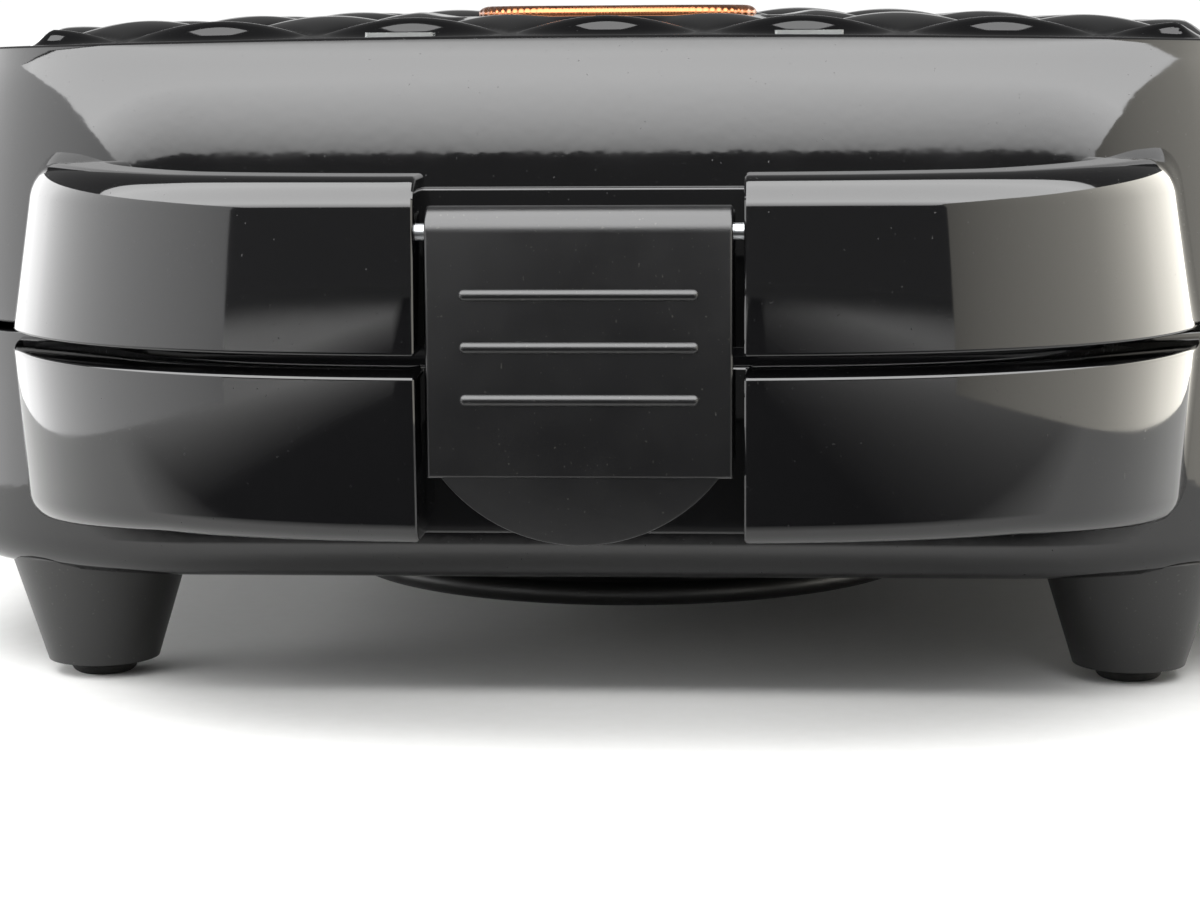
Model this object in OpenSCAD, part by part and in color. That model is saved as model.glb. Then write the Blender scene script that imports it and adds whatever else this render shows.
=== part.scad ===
// Clamshell maker for seven small ring doughnuts.
// X to the right seen from the handle, front is -Y, Z up, standing on its feet at Z = 0.

/* [Body] */
// Width of the body over its side walls
body_w = 230; // [210:1:244]
// Depth of the body, front wall to back wall
body_d = 193; // [180:1:210]
// Radius of the body's corners, seen from above
corner_r = 52; // [44:1:60]
// Thickness of the moulded shells
wall = 2.4; // [2:0.1:3]
// Height of the underside of the body
base_z = 18.8; // [16:0.1:24]
// Height of the plane where lid and base meet
parting_z = 57.2; // [54:0.1:60]
// Gap between the two shells' rims
parting_gap = 1.2; // [0.8:0.1:1.6]
// Width of the rounding at the foot of the base's wall
base_round_w = 5; // [3:0.5:7]
// Height of the rounding at the foot of the base's wall
base_round_h = 6; // [4:0.5:8]
// Thickness of the flange around the base's underside
flange_t = 1.2; // [1:0.1:1.6]
// Distance of the flange's inner edge from the body's walls
flange_in = 12; // [10:0.5:14]
// Thickness of the floor plate that lies on the flange
floor_t = 1.6; // [1.2:0.1:2.4]

/* [Lid] */
// Height of the lid's upper edge at the middle of its front
lid_top_z = 101.9; // [98:0.1:104]
// How far the lid's wall leans in by its upper edge
lid_lean = 6.4; // [4:0.1:12]
// How fast that lean grows with height
lid_lean_power = 2; // [1.6:0.1:2.6]
// How much lower the upper edge is at the sides than at the middle
lid_crown = 1.9; // [1:0.1:3]
// Width of the lid's flat upper rim
lid_rim_w = 2.6; // [2:0.1:3.5]
// Gap around the top panel
panel_gap = 0.3; // [0.2:0.05:0.5]
// Rise of the top panel from its edge to its middle
panel_dome = 2.2; // [1:0.1:3]
// Thickness of the top panel
panel_t = 2.6; // [2:0.1:3]
// Width of one quilted diamond
quilt_w = 30.6; // [26:0.2:34]
// Length of one quilted diamond
quilt_l = 30.6; // [26:0.2:34]
// Rise of a quilted diamond over its seams
quilt_h = 2.8; // [1.5:0.1:3.5]
// Width of the plain margin around the quilting
quilt_margin = 9; // [8:0.5:12]

/* [Badge and lamps] */
// Width of the copper oval on the top panel
badge_w = 46; // [38:1:54]
// Depth of the copper oval
badge_d = 26; // [20:1:30]
// Thickness of the copper oval
badge_t = 1.6; // [1.2:0.1:2.4]
// Distance of the copper oval from the body's front wall
badge_back = 50; // [46:1:60]
// Distance of each lamp from the middle
lamp_x = 31.5; // [26:0.5:40]
// Width of a lamp's lens
lamp_w = 10.5; // [8:0.5:12]
// Depth of a lamp's lens
lamp_d = 4.6; // [4:0.1:5.4]
// How far a lens stands over the panel
lamp_proud = 0.9; // [0.5:0.1:1.5]

/* [Handle] */
// Reach of the handle in front of the body
handle_reach = 47; // [42:1:50]
// Half the width that the handle's curve tends to
handle_half_w = 94.5; // [93:0.5:98]
// Depth of the handle's curve from its front to its widest point
handle_curve_d = 90; // [84:1:96]
// Squareness of the handle's curve
handle_power = 3; // [2.6:0.1:3.4]
// Thickness of the handle's bars, front to back
bar_t = 15.5; // [14.5:0.5:18]
// Height of the top of the lid's bar
bar_top_z = 83; // [80:0.1:85]
// Height of the underside of the base's bar
bar_bottom_z = 32.3; // [30:0.1:34]
// Gap between the two bars
bar_gap = 2.7; // [2:0.1:3.5]
// Radius along the upper front edge of the lid's bar
high_edge_r = 4.6; // [2:0.2:5]
// Radius along the lower front edge of the base's bar
low_edge_r = 3.2; // [2:0.2:5]
// How far a bar's front leans back at its middle
bar_lean = 1; // [0.4:0.1:1.6]
// How far the lid's bar leans back at its arms
high_arm_lean = 4.4; // [2:0.1:5]
// How far the base's bar leans back at its arms
low_arm_lean = 2; // [1:0.1:4]
// How much lower the lid's bar is at its arms
high_taper = 0.8; // [0:0.1:2]
// How much the underside of the base's bar rises towards its arms
low_taper = 3; // [1:0.1:4]
// How much the arms draw in sideways by the body
arm_tuck = 2; // [0:0.1:3]
// How much the arms widen inwards where they meet the body
root_w = 10; // [4:0.5:12]
// How much the arms grow in height where they meet the body
root_h = 3.6; // [1:0.1:6]
// Width of the recess that holds the latch
recess_w = 45; // [44:0.5:48]
// Depth of that recess
recess_d = 12; // [11:0.5:13]
// How much lower the recess's top is than the bar's
recess_drop = 2; // [1:0.1:3]

/* [Latch] */
// Width of the latch
latch_w = 42; // [38:0.5:43]
// Thickness of the latch's plate
latch_t = 2.8; // [2.2:0.1:3.2]
// How far the latch's face is behind the bars' front
latch_back = 0.9; // [0.7:0.1:1.5]
// Height of the latch's upper edge
latch_top_z = 79; // [77:0.1:79.4]
// Height of the plate's lower edge
latch_low_z = 41.8; // [40:0.1:43]
// Radius of the finger tab's round edge
tab_r = 24.1; // [22:0.1:26]
// How far the finger tab hangs under the plate
tab_h = 9.4; // [8:0.1:10]
// Radius of the latch's barrel
latch_barrel_r = 3.6; // [3.2:0.1:3.8]
// Radius of the latch's pin
latch_pin_r = 1.2; // [1:0.1:1.4]
// How far the first rib is under the latch's upper edge
rib_drop = 12; // [9:0.1:14]
// Distance from one rib to the next
rib_pitch = 7.2; // [6.5:0.1:7.6]
// Width of the ribs
rib_w = 32.9; // [28:0.1:36]
// Radius of a rib's section
rib_r = 0.9; // [0.7:0.1:1]
// How far the hook reaches under the catch
hook_bite = 1.8; // [1.2:0.1:2.4]

/* [Plates and heat] */
// Distance of the baking plates' edges from the body's walls
plate_in = 13.5; // [12:0.5:16]
// Thickness of the baking plates
plate_t = 12; // [11:0.5:13]
// Gap between the closed plates' faces
plate_gap = 0.4; // [0.3:0.1:0.6]
// Distance between neighbouring doughnuts
ring_pitch = 54; // [52:0.5:56]
// Radius of a doughnut's centre line
ring_r = 15.5; // [14:0.5:16]
// Radius of a doughnut's section
ring_tube_r = 8.8; // [8:0.1:9]
// Radius of the heating loop
element_r = 54; // [50:1:58]
// Radius of the heating rod
rod_r = 3.2; // [3:0.1:3.5]
// Thickness of the heat shields
shield_t = 0.8; // [0.6:0.1:1.2]

/* [Hinge] */
// Distance of each hinge from the middle
hinge_x = 38; // [30:1:40]
// Radius of the hinge knuckles
knuckle_r = 4.6; // [4.2:0.1:5]
// Width of the lid's knuckle
knuckle_w = 8; // [6:0.5:9]
// Width of each of the base's two lugs
lug_w = 7; // [5:0.5:8]
// Height of the hinge's axis over the parting plane
hinge_rise = 1.5; // [1:0.1:2.5]
// Gap between a knuckle and the body's back wall
hinge_clear = 0.8; // [0.6:0.1:1.4]
// Gap between a knuckle and a lug
knuckle_gap = 0.3; // [0.2:0.05:0.5]
// Radius of the hinge pins
hinge_pin_r = 2; // [1.6:0.1:2.4]
// Running clearance of every pin, on the radius
pin_fit = 0.05; // [0.02:0.01:0.08]

/* [Feet and cord store] */
// Distance of each foot from the body's side wall
foot_side = 32.4; // [28:0.1:36]
// Distance of each foot from the body's front or back wall
foot_in = 21.5; // [19:0.5:26]
// Radius of a leg at the body
leg_top_r = 14.4; // [11:0.1:15]
// Radius of a leg at its pad
leg_low_r = 8.9; // [8.4:0.1:10]
// Height of a rubber pad
pad_h = 2.4; // [2:0.1:5]
// Radius of a pad at its top
pad_top_r = 7.4; // [6:0.1:8]
// Radius of a pad where it stands
pad_low_r = 3.9; // [3.4:0.1:4.4]
// Radius of the cord store's rim
store_r = 53; // [48:1:58]
// Radius of the cord store's hub
store_hub_r = 42; // [36:1:44]
// Height of the cord store's underside
store_z = 6.4; // [6:0.1:8]
// Thickness of the cord store's rim
store_rim_t = 4; // [3:0.1:5]

/* [Hidden] */
CORNERS = [["front_left", -1, -1], ["front_right", 1, -1], ["rear_left", -1, 1], ["rear_right", 1, 1]];
SIDES = [["left", -1], ["right", 1]];

// Smoothness of turned shapes and of outlines
$fn = 64;
arc_steps = 10;
edge_steps = 4;
quilt_step = 4.1;

// The hinge stands clear of the back wall, and the whole depth is centred on Y = 0
seat = 0.05;
hinge_off = knuckle_r + hinge_clear;
total_d = handle_reach + body_d + hinge_off + knuckle_r;
front_y = -total_d / 2;
body_front_y = front_y + handle_reach;
body_back_y = body_front_y + body_d;
body_y = (body_front_y + body_back_y) / 2;
hinge_y = body_back_y + hinge_off;
hinge_z = parting_z + hinge_rise;

base_rim_z = parting_z - parting_gap / 2;
lid_rim_z = parting_z + parting_gap / 2;
sole_z = base_z + flange_t + seat;
floor_z = sole_z + floor_t;
floor_in = wall + base_round_w + 0.3;

// The ledge inside the lid carries the frame, and everything over it follows the crown
ledge_z = lid_top_z - 8.9;
ledge_w = 5;
ledge_t = 2.6;
ledge_slope = 3;
frame_t = 2;
rim_in = lid_lean + lid_rim_w;
panel_in = rim_in + panel_gap;
panel_edge_z = lid_top_z - 0.4;
skirt_z = ledge_z + frame_t + seat;

plate_w = body_w - 2 * plate_in;
plate_d = body_d - 2 * plate_in;
plate_r = corner_r - plate_in;
lower_face_z = parting_z - plate_gap / 2;
upper_face_z = parting_z + plate_gap / 2;
lower_back_z = lower_face_z - plate_t;
upper_back_z = upper_face_z + plate_t;
post_in = 25;
post_x = plate_w / 2 - post_in;
post_y = plate_d / 2 - post_in;
post_r = 4.5;
screw_r = 1.8;
screw_head_r = 3.4;
screw_head_h = 1.7;
screw_fit = 0.2;
shield_gap = 3;
clip_gap = 0.1;
lower_rod_z = lower_back_z - rod_r - clip_gap;
upper_rod_z = upper_back_z + rod_r + clip_gap;
lower_shield_z = lower_rod_z - rod_r - shield_gap - shield_t;
upper_shield_z = upper_rod_z + rod_r + shield_gap;

bar_split_low = parting_z - bar_gap / 2;
bar_split_high = parting_z + bar_gap / 2;
recess_y = front_y + recess_d;
recess_top_z = bar_top_z - recess_drop;
latch_y = front_y + latch_back;
latch_axis_y = latch_y + latch_barrel_r;
latch_axis_z = latch_top_z - latch_barrel_r;
latch_spring_w = 10;
latch_wire_r = 0.25;
catch_t = 1;
catch_w = 24;
catch_nose = 3.8;
catch_z = latch_low_z + 8.2;
catch_h = 2.4;
hook_gap = 0.3;
hook_h = 3.2;
hook_w = 20;
pin_socket = 2.2;

store_screw_r = store_hub_r - 16;
block_w = 40;
block_d = 11;
block_back_y = body_back_y - plate_in - 2.5;
gland_x = 0;
gland_z = base_z + 15.2;
gland_r = 5.4;
gland_bore_r = 3.6;
lead_r = 1.9;
lead_x = 14;
lead_drop = 6.5;

black = "#0b0b0c";
satin = "#1d1d1e";
dark = "#141415";
steel = "#b9bcc0";
alloy = "#4a4b4d";
copper = "#c07a4e";

// ---- outlines and lofts ----

function lerp(a, b, t) = a + (b - a) * t;
function joined(lists) = [for (l = lists) each l];
function middle(points, i = 0) = i == len(points) - 1 ? points[i] / len(points)
    : points[i] / len(points) + middle(points, i + 1);

// Rounded rectangle, anticlockwise, with points along its straight sides too
function outline(w, d, r) = [
    for (k = [0:3], i = [0:arc_steps + edge_steps - 1])
        let (
            here = corner_point(w, d, r, k, 90 * (k + min(i, arc_steps) / arc_steps)),
            next = corner_point(w, d, r, (k + 1) % 4, 90 * (k + 1))
        )
        lerp(here, next, max(0, i - arc_steps) / edge_steps)
];
function corner_point(w, d, r, k, a) = [
    (k == 0 || k == 3 ? 1 : -1) * (w / 2 - r) + r * cos(a),
    (k < 2 ? 1 : -1) * (d / 2 - r) + r * sin(a)
];

// Solid through a stack of rings with equally many points; wrap joins the last ring to the first
module loft(rings, wrap = false) {
    n = len(rings[0]);
    m = len(rings);
    sides = [
        for (j = [0:(wrap ? m - 1 : m - 2)], i = [0:n - 1])
            let (j2 = (j + 1) % m, i2 = (i + 1) % n)
            [j * n + i, j2 * n + i, j2 * n + i2, j * n + i2]
    ];
    // Each end is a fan around its middle
    ends = wrap ? [] : [middle(rings[0]), middle(rings[m - 1])];
    caps = wrap ? [] : [
        for (i = [0:n - 1])
            let (i2 = (i + 1) % n)
            each [[m * n, i, i2], [m * n + 1, (m - 1) * n + i2, (m - 1) * n + i]]
    ];
    polyhedron(points = concat(joined(rings), ends), faces = concat(sides, caps), convexity = 8);
}

// Round tube along a list of points
module tube(path, r, sides = 8) {
    m = len(path);
    rings = [
        for (j = [0:m - 1])
            let (
                t = unit(path[min(j + 1, m - 1)] - path[max(j - 1, 0)]),
                side = unit(cross(t, abs(t.z) < 0.8 ? [0, 0, 1] : [0, 1, 0])),
                up = cross(side, t)
            )
            [for (i = [0:sides - 1]) path[j] + r * (cos(360 * i / sides) * up + sin(360 * i / sides) * side)]
    ];
    loft(rings);
}
function unit(v) = v / norm(v);
function along_arc(centre, r, a0, a1, steps) = [
    for (i = [0:steps]) centre + r * [0, cos(lerp(a0, a1, i / steps)), sin(lerp(a0, a1, i / steps))]
];

// ---- the body's surface ----

function lid_in(z) = lid_lean * pow(max(0, z - lid_rim_z) / (lid_top_z - lid_rim_z), lid_lean_power);
function crown(x, z) = lid_crown * pow(x / (body_w / 2), 2)
    * max(0, z - ledge_z - frame_t) / (lid_top_z - ledge_z - frame_t);

// The rounding at the foot of the base's wall, as insets and heights, from the underside up
function base_foot() = [
    for (a = [0:18:90]) [base_round_w * (1 - sin(a)), base_z + base_round_h * (1 - cos(a))]
];
function lid_levels(steps, top) = [for (i = [0:steps]) lerp(lid_rim_z, top, i / steps)];

// One level of a shell: the body's outline moved in, at a height, with the lid's crown
function level(inset, z) = [
    for (p = outline(body_w - 2 * inset, body_d - 2 * inset, corner_r - inset))
        [p.x, p.y + body_y, z - crown(p.x, z)]
];

// The body as a turned solid around one corner's axis, grown by a gap, to cut what stands against it
module corner_body(side, front, gap, in_lid) {
    walls = in_lid ? [for (z = lid_levels(12, ledge_z)) [lid_in(z), z]]
        : concat(base_foot(), [[0, base_rim_z]]);
    last = walls[len(walls) - 1];
    translate([side * (body_w / 2 - corner_r), body_y + front * (body_d / 2 - corner_r), 0])
        rotate_extrude($fn = 96) polygon(concat(
            [[0, walls[0][1] - seat], [corner_r + gap - walls[0][0], walls[0][1] - (in_lid ? 3 : seat)]],
            [for (p = walls) [corner_r + gap - p[0], p[1]]],
            [[corner_r + gap - last[0], last[1] + 3], [0, last[1] + 3]]
        ));
}

// ---- base ----

module base_shell() {
    edge = 0.5;
    foot = base_foot();
    rim = [level(0, base_rim_z - edge), level(edge, base_rim_z)];
    outer = concat([for (p = foot) level(p[0], p[1])], rim);
    inner = concat(
        [level(wall, base_rim_z)],
        [for (i = [len(foot) - 1:-1:0]) level(wall + foot[i][0], wall + foot[i][1])]
    );
    flange_z = base_z + flange_t;
    flange = [level(wall + base_round_w, flange_z), level(flange_in, flange_z), level(flange_in, base_z)];
    color(black) difference() {
        loft(concat(outer, inner, flange), true);
        through_back(gland_x, gland_z, gland_r + screw_fit);
        through_back(-lead_x, base_rim_z - lead_drop, lead_r + screw_fit);
    }
}
// The floor lies on the shell's flange, and the posts, screws and cord store hold it there
module base_floor() {
    color(satin) difference() {
        slab(body_w - 2 * floor_in, body_d - 2 * floor_in, corner_r - floor_in, sole_z, floor_t);
        at_posts() translate([0, 0, base_z]) cylinder(r = screw_r + screw_fit, h = 2 * wall);
        at_store_screws() translate([0, 0, base_z]) cylinder(r = screw_r + screw_fit, h = 2 * wall);
    }
}
module through_back(x, z, r) {
    translate([x, body_back_y + 3, z]) rotate([90, 0, 0]) cylinder(r = r, h = wall + 12);
}
module at_posts() {
    for (x = [-post_x, post_x], y = [-post_y, post_y]) translate([x, body_y + y, 0]) children();
}
module at_store_screws() {
    for (a = [45:90:315]) translate([store_screw_r * cos(a), body_y + store_screw_r * sin(a), 0]) children();
}

// ---- the two bars of the handle ----

function curve_at(a) = [
    handle_half_w * sign(cos(a)) * pow(abs(cos(a)), 2 / handle_power),
    front_y + handle_curve_d * (1 - pow(abs(sin(a)), 2 / handle_power))
];
function inward(a) = let (t = unit(curve_at(a + 0.5) - curve_at(a - 0.5))) [t.y, -t.x];
function angle_at(x) = acos(sign(x) * pow(abs(x) / handle_half_w, handle_power / 2));

// Section of a bar from its front face (o0) to its back (o1), with radii low front, high front and back
function bar_section(o0, o1, z0, z1, r_low, r_high, r_back, steps = 3) = [
    for (k = [0:3]) each concat(
        [for (i = [0:steps])
            let (
                t = 90 * i / steps,
                r = [r_low, r_high, r_back, r_back][k],
                dir = [[-sin(t), -cos(t)], [-cos(t), sin(t)], [sin(t), cos(t)], [cos(t), -sin(t)]][k]
            )
            [(k < 2 ? o0 + r : o1 - r) + r * dir[0], (k == 0 || k == 3 ? z0 + r : z1 - r) + r * dir[1]]],
        // Points across the top, then the underside
        k == 1 ? [for (t = [0.25:0.25:0.75]) [lerp(o0 + r_high, o1 - r_back, t), z1]] : [],
        k == 3 ? [for (t = [0.25:0.25:0.75]) [lerp(o1 - r_back, o0 + r_low, t), z0]] : []
    )
];

// One bar of the handle: the lid's leans back upwards, the base's mirrors it
module bar(z0, z1, upper) {
    steps = 15;
    edge = angle_at(recess_w / 2);
    right = [for (i = [0:steps]) [lerp(4, edge, i / steps), 0]];
    middle = [for (x = [recess_w / 2 - 0.06, 0, 0.06 - recess_w / 2]) [angle_at(x), recess_d]];
    left = [for (i = [steps:-1:0]) [180 - lerp(4, edge, i / steps), 0]];
    loft([
        for (s = concat(right, middle, left))
            let (
                p = curve_at(s[0]),
                n = inward(s[0]),
                share = pow(abs(p.x) / handle_half_w, 3),
                deep = s[1] > 0,
                taper = max(0, share - 0.28) / 0.72,
                rooted = max(0, share - 0.78) / 0.22,
                low = upper ? z0 : z0 + low_taper * taper,
                high = upper ? z1 - high_taper * taper - (deep ? recess_drop : 0) : z1,
                r = deep ? 0.4 : upper ? high_edge_r : low_edge_r,
                back = bar_t + root_w * rooted
            )
            [for (q = bar_section(s[1], back, low, high, upper ? 0.6 : r, upper ? r : 0.6, 2.5))
                let (
                    away = (upper ? q[1] - low : high - q[1]) / (high - low),
                    lean = deep ? 0 : lerp(bar_lean, upper ? high_arm_lean : low_arm_lean, share) * away,
                    o = q[0] + lean * (1 - q[0] / back),
                    fall = 0.85 * smooth((q[0] / back - 0.35) / 0.65),
                    grown = (upper ? 1 : -1) * root_h * rooted * away * (1 - fall)
                )
                [p.x + n.x * o - sign(p.x) * arm_tuck * rooted, p.y + n.y * o, q[1] + grown]]
    ]);
}
module base_handle() {
    color(black) difference() {
        bar(bar_bottom_z, bar_split_low, false);
        for (s = SIDES) corner_body(s[1], -1, 0.1, false);
    }
}
module lid_handle() {
    color(black) difference() {
        bar(bar_split_high, bar_top_z, true);
        for (s = SIDES) corner_body(s[1], -1, 0.1, true);
        latch_axis(latch_pin_r + pin_fit, recess_w + 2 * pin_socket);
    }
}
module latch_axis(r, length) {
    translate([-length / 2, latch_axis_y, latch_axis_z]) rotate([0, 90, 0]) cylinder(r = r, h = length);
}

// ---- latch ----

module latch() {
    pocket_r = latch_barrel_r - 1.2;
    color(satin) difference() {
        union() {
            translate([-latch_w / 2, latch_y, latch_low_z])
                cube([latch_w, latch_t, latch_axis_z - latch_low_z]);
            latch_axis(latch_barrel_r, latch_w);
            latch_tab();
            for (i = [0:2]) latch_rib(latch_top_z - rib_drop - i * rib_pitch);
            latch_hook();
        }
        latch_axis(pocket_r, latch_spring_w + 1);
        translate([-(latch_spring_w + 1) / 2, latch_y + latch_t, latch_axis_z - latch_barrel_r - 1])
            cube([latch_spring_w + 1, 2 * latch_barrel_r, latch_barrel_r + 1 + pocket_r]);
        latch_axis(latch_pin_r + pin_fit, latch_w + 2);
    }
}
module latch_tab() {
    translate([0, latch_y + latch_t - 0.3, latch_low_z - tab_h + tab_r]) rotate([90, 0, 0])
        linear_extrude(latch_t - 0.6) intersection() {
            circle(r = tab_r);
            translate([-tab_r, -2 * tab_r]) square([2 * tab_r, tab_r + tab_h + 0.5]);
        }
}
module latch_rib(z) {
    translate([0, latch_y + 0.2, z]) rotate([0, 90, 0]) {
        cylinder(r = rib_r, h = rib_w - 2 * rib_r, center = true);
        for (s = [-1, 1]) translate([0, 0, s * (rib_w / 2 - rib_r)]) sphere(r = rib_r);
    }
}
module latch_hook() {
    tip_y = recess_y - catch_nose + hook_bite;
    translate([-hook_w / 2, latch_y + latch_t - 0.2, catch_z - hook_gap - hook_h])
        cube([hook_w, tip_y - latch_y - latch_t + 0.2, hook_h]);
}
module latch_catch() {
    color(satin) translate([-catch_w / 2, 0, 0]) {
        translate([0, recess_y - catch_t - seat, catch_z - 6]) cube([catch_w, catch_t, catch_h + 8]);
        translate([0, recess_y - catch_nose, catch_z]) cube([catch_w, catch_nose - seat, catch_h]);
    }
}
module latch_pin() {
    color(steel) latch_axis(latch_pin_r, recess_w + 2 * pin_socket - 0.4);
}
module latch_spring() {
    turns = 5.75;
    coil_r = latch_pin_r + 0.3 + latch_wire_r;
    half = latch_spring_w / 2 - 0.6;
    steps = 64;
    coil = [
        for (i = [0:steps])
            let (a = 360 * turns * i / steps)
            [lerp(-half, half, i / steps), coil_r * cos(a), coil_r * sin(a)]
    ];
    plate_leg = [[-half, latch_t - latch_barrel_r + 0.35, -9], [-half, 1, -6], [-half, coil_r, -3]];
    rest_y = recess_y - latch_axis_y - latch_wire_r - seat;
    bar_leg = [[half, coil_r + 2, -coil_r], [half, rest_y, -coil_r - 0.5]];
    color(steel) translate([0, latch_axis_y, latch_axis_z])
        tube(concat(plate_leg, coil, bar_leg), latch_wire_r, 6);
}

// ---- baking plates and heat ----

module rounded(w, d, r) {
    square([w - 2 * r, d], center = true);
    square([w, d - 2 * r], center = true);
    for (x = [-1, 1], y = [-1, 1]) translate([x * (w / 2 - r), y * (d / 2 - r)]) circle(r = r);
}
module slab(w, d, r, z, t) {
    translate([0, body_y, z]) linear_extrude(t) rounded(w, d, r);
}
module at_rings() {
    translate([0, body_y, 0]) {
        children();
        for (a = [0:60:300]) translate([ring_pitch * cos(a), ring_pitch * sin(a), 0]) children();
    }
}
module bake_plate(face_z, back_z) {
    color(alloy) difference() {
        slab(plate_w, plate_d, plate_r, min(face_z, back_z), plate_t);
        at_rings() translate([0, 0, face_z]) rotate_extrude() translate([ring_r, 0]) circle(r = ring_tube_r);
        at_posts() translate([0, 0, back_z]) cylinder(r = screw_r + seat, h = plate_t, center = true);
    }
}
module lower_plate() { bake_plate(lower_face_z, lower_back_z); }
module upper_plate() { bake_plate(upper_face_z, upper_back_z); }

// Open loop of heating rod with an insulating bead and a terminal pin at each of its two ends
module element(z) {
    open = 30;
    grip = 1;
    bead = 3;
    pin_r = 1.4;
    pin_l = 15;
    color("#6d6a66") translate([0, body_y, z]) {
        rotate_extrude(start = 90 + open, angle = 360 - 2 * open) translate([element_r, 0])
            circle(r = rod_r);
        for (s = [-1, 1]) rotate(90 + s * open) translate([element_r, 0, 0]) rotate([s * 90, 0, 0]) {
            translate([0, 0, -grip]) cylinder(r = rod_r - 0.6, h = bead + grip);
            cylinder(r = pin_r, h = pin_l);
        }
    }
}
module lower_element() { element(lower_rod_z); }
module upper_element() { element(upper_rod_z); }

module shield(z) {
    color(steel) difference() {
        slab(plate_w - 4, plate_d - 4, plate_r - 2, z, shield_t);
        at_posts() translate([0, 0, z - 1]) cylinder(r = post_r + screw_fit, h = shield_t + 2);
    }
}
module lower_shield() { shield(lower_shield_z); }
module upper_shield() { shield(upper_shield_z); }

// Hollow post from z0 to z1, with a collar that reaches from its foot to the heat shield
module post(z0, z1, collar_z) {
    difference() {
        union() {
            translate([0, 0, min(z0, z1)]) cylinder(r = post_r, h = abs(z1 - z0));
            translate([0, 0, min(z0, collar_z)]) cylinder(r = post_r + 2, h = abs(collar_z - z0));
        }
        translate([0, 0, min(z0, z1) - 1]) cylinder(r = screw_r + screw_fit, h = abs(z1 - z0) + 2);
    }
}
module lower_posts() {
    color(steel) at_posts() post(floor_z + seat, lower_back_z - seat, lower_shield_z - seat);
}
module screw(z_head, z_tip) {
    down = z_tip < z_head;
    translate([0, 0, min(z_head, z_tip)]) cylinder(r = screw_r, h = abs(z_tip - z_head));
    translate([0, 0, down ? z_head : z_head - screw_head_h]) difference() {
        cylinder(r = screw_head_r, h = screw_head_h);
        for (a = [0, 90]) rotate(a) translate([-2, -0.35, down ? screw_head_h - 1 : -1]) cube([4, 0.7, 2]);
    }
}
module lower_screws() { color(steel) at_posts() screw(sole_z - seat, lower_back_z + 5); }
module upper_screws() { color(steel) at_posts() screw(ledge_z + frame_t + seat, upper_back_z - 5); }

module thermostat() {
    r = element_r / 6;
    h = r * 2 / 3;
    cap_t = h / 4;
    color("#8c8f93") translate([0, body_y, lower_back_z - h - clip_gap]) {
        cylinder(r = r, h = h - cap_t);
        translate([0, 0, h - cap_t]) cylinder(r = 0.72 * r, h = cap_t);
        for (s = [-1, 1]) translate([s * 1.05 * r - r / 4, -r / 3, h / 6])
            cube([r / 2, r * 2 / 3, cap_t / 2]);
    }
}
module thermal_fuse() {
    r = 2;
    wire_r = r / 4;
    color("#c9b98c") translate([0, body_y - element_r / 2, lower_back_z - r - clip_gap]) rotate([0, 90, 0]) {
        cylinder(r = r, h = 5.5 * r, center = true);
        cylinder(r = wire_r, h = 15 * r, center = true);
    }
}
module terminal_block() {
    color("#e6e1d4") translate([-block_w / 2, block_back_y - block_d, floor_z + seat]) difference() {
        cube([block_w, block_d, block_d]);
        for (i = [-1:1]) translate([(0.5 + 0.3 * i) * block_w, block_d / 2, block_d * 0.4])
            cylinder(r = block_d * 0.22, h = block_d);
    }
}
module cord_gland() {
    color(satin) translate([gland_x, body_back_y, gland_z]) rotate([-90, 0, 0]) difference() {
        union() {
            translate([0, 0, -wall - 3]) cylinder(r = gland_r, h = wall + 3 + 2);
            translate([0, 0, seat]) cylinder(r = gland_r + 2, h = 2.5);
        }
        translate([0, 0, -wall - 4]) cylinder(r = gland_bore_r, h = 20);
    }
}
module cord_store() {
    rim_r = store_rim_t / 2;
    hub_h = sole_z - seat - store_z - 1;
    color(dark) translate([0, body_y, 0]) difference() {
        union() {
            rotate_extrude() {
                translate([0, store_z]) square([store_r - rim_r, store_rim_t]);
                translate([store_r - rim_r, store_z + rim_r]) circle(r = rim_r);
                translate([store_hub_r - wall, store_z + 1]) square([wall, hub_h]);
            }
            for (a = [45:90:315]) rotate(a) translate([store_screw_r, 0, store_z + 1])
                cylinder(r = post_r, h = hub_h);
        }
        for (a = [45:90:315]) rotate(a) translate([store_screw_r, 0, store_z - 1]) {
            cylinder(r = screw_r + screw_fit, h = base_z);
            cylinder(r = screw_head_r + screw_fit, h = screw_head_h + 1.2);
        }
    }
}
module cord_store_screws() {
    color(steel) at_store_screws() screw(store_z + screw_head_h + 0.2, floor_z - 0.3);
}

// ---- hinge and leads ----

hinge_span = knuckle_w + 2 * (lug_w + knuckle_gap);
module hinge_round(x, w) {
    translate([x - w / 2, hinge_y, hinge_z]) rotate([0, 90, 0]) cylinder(r = knuckle_r, h = w);
}
module hinge_bore() {
    for (s = SIDES) translate([s[1] * hinge_x - hinge_span, hinge_y, hinge_z])
        rotate([0, 90, 0]) cylinder(r = hinge_pin_r + pin_fit, h = 2 * hinge_span);
}
module base_hinge() {
    stop_top = hinge_z - 1.26 * knuckle_r;
    low = stop_top - 2.2 * knuckle_r;
    back = hinge_y + 0.9 * knuckle_r;
    lug_x = knuckle_w / 2 + knuckle_gap + lug_w / 2;
    color(satin) difference() {
        for (s = SIDES) translate([s[1] * hinge_x, 0, 0]) {
            translate([-hinge_span / 2, body_back_y + seat, low])
                cube([hinge_span, back - body_back_y - seat, stop_top - low]);
            for (k = [-1, 1]) {
                hinge_round(k * lug_x, lug_w);
                translate([k * lug_x - lug_w / 2, hinge_y - knuckle_r, stop_top - knuckle_r / 4])
                    cube([lug_w, 2 * knuckle_r, hinge_z - stop_top + knuckle_r / 4]);
            }
        }
        hinge_bore();
    }
}
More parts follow.
